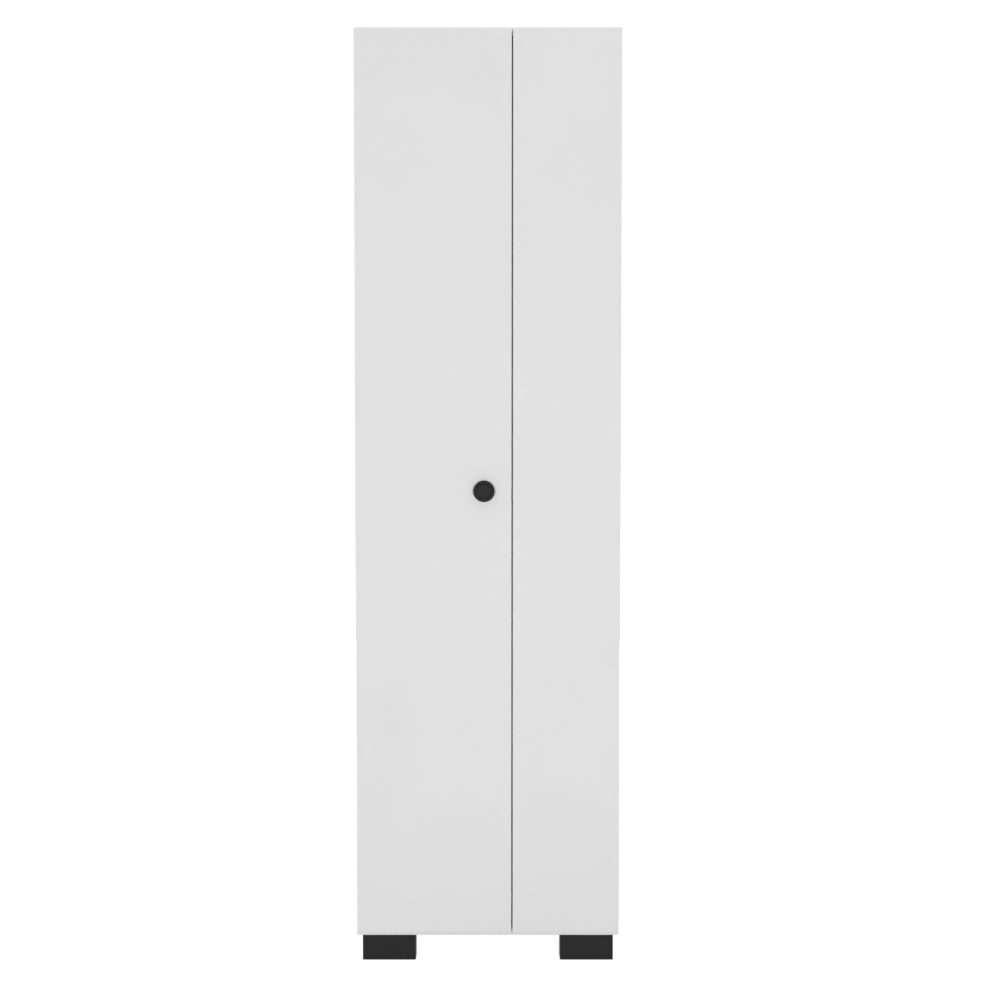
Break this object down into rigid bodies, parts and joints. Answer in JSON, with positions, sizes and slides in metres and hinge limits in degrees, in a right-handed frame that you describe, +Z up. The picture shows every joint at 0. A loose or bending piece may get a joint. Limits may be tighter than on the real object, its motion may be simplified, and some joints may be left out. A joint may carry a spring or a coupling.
{
  "type": "broom cupboard",
  "caption": "Tall white flat-pack broom cupboard on black plastic feet, with a wide and a narrow door, a round knob, shelves and a tall space for brooms.",
  "frame": {"origin": "on the floor, in the middle of the whole box, knob included", "axes": "+X to the right as one faces the doors, +Y to the back, +Z up"},
  "size_m": [0.482, 0.3766, 1.7],
  "materials": {
    "white_board": "white melamine-faced chipboard, satin",
    "back_sheet": "thin hardboard, white towards the shelves and bare brown behind",
    "white_plastic": "extruded, satin",
    "black_plastic": "moulded, fine grain",
    "knob_plastic": "moulded, satin",
    "clear_rubber": "soft, clear",
    "plain_steel": "nickel-plated pressed steel"
  },
  "bodies": {
    "carcass": {"left_side_panel": "white_board", "right_side_panel": "white_board", "top_panel": "white_board", "bottom_panel": "white_board", "partition": "white_board", "left_shelf_1": "white_board", "left_shelf_2": "white_board", "left_shelf_3": "white_board", "left_shelf_4": "white_board", "broom_bay_shelf": "white_board", "back_panel_lower": "back_sheet", "back_panel_upper": "back_sheet", "back_joining_strip": "white_plastic", "hook_rail": "white_board", "broom_hook_1": "plain_steel", "broom_hook_2": "plain_steel", "front_left_foot": "black_plastic", "front_right_foot": "black_plastic", "rear_left_foot": "black_plastic", "rear_right_foot": "black_plastic", "left_lower_hinge_arm": "plain_steel", "left_lower_hinge_plate": "plain_steel", "left_lower_hinge_arm_screw": "plain_steel", "left_middle_hinge_arm": "plain_steel", "left_middle_hinge_plate": "plain_steel", "left_middle_hinge_arm_screw": "plain_steel", "left_upper_hinge_arm": "plain_steel", "left_upper_hinge_plate": "plain_steel", "left_upper_hinge_arm_screw": "plain_steel", "right_lower_hinge_arm": "plain_steel", "right_lower_hinge_plate": "plain_steel", "right_lower_hinge_arm_screw": "plain_steel", "right_middle_hinge_arm": "plain_steel", "right_middle_hinge_plate": "plain_steel", "right_middle_hinge_arm_screw": "plain_steel", "right_upper_hinge_arm": "plain_steel", "right_upper_hinge_plate": "plain_steel", "right_upper_hinge_arm_screw": "plain_steel"},
    "left_door": {"left_door": "white_board", "door_knob": "knob_plastic", "knob_screw": "plain_steel", "left_door_lower_bumper": "clear_rubber", "left_door_upper_bumper": "clear_rubber", "left_lower_hinge_cup": "plain_steel", "left_lower_hinge_pin": "plain_steel", "left_middle_hinge_cup": "plain_steel", "left_middle_hinge_pin": "plain_steel", "left_upper_hinge_cup": "plain_steel", "left_upper_hinge_pin": "plain_steel"},
    "right_door": {"right_door": "white_board", "right_door_lower_bumper": "clear_rubber", "right_door_upper_bumper": "clear_rubber", "right_lower_hinge_cup": "plain_steel", "right_lower_hinge_pin": "plain_steel", "right_middle_hinge_cup": "plain_steel", "right_middle_hinge_pin": "plain_steel", "right_upper_hinge_cup": "plain_steel", "right_upper_hinge_pin": "plain_steel"}
  },
  "joints": [
    {"name": "left_door_swing", "type": "hinge", "parent": "carcass", "child": "left_door", "pos_m": [-0.2333, -0.15585, 0.8735], "axis": [0, 0, -1], "range_deg": [0, 100]},
    {"name": "right_door_swing", "type": "hinge", "parent": "carcass", "child": "right_door", "pos_m": [0.2333, -0.15585, 0.8735], "axis": [0, 0, 1], "range_deg": [0, 100]}
  ]
}
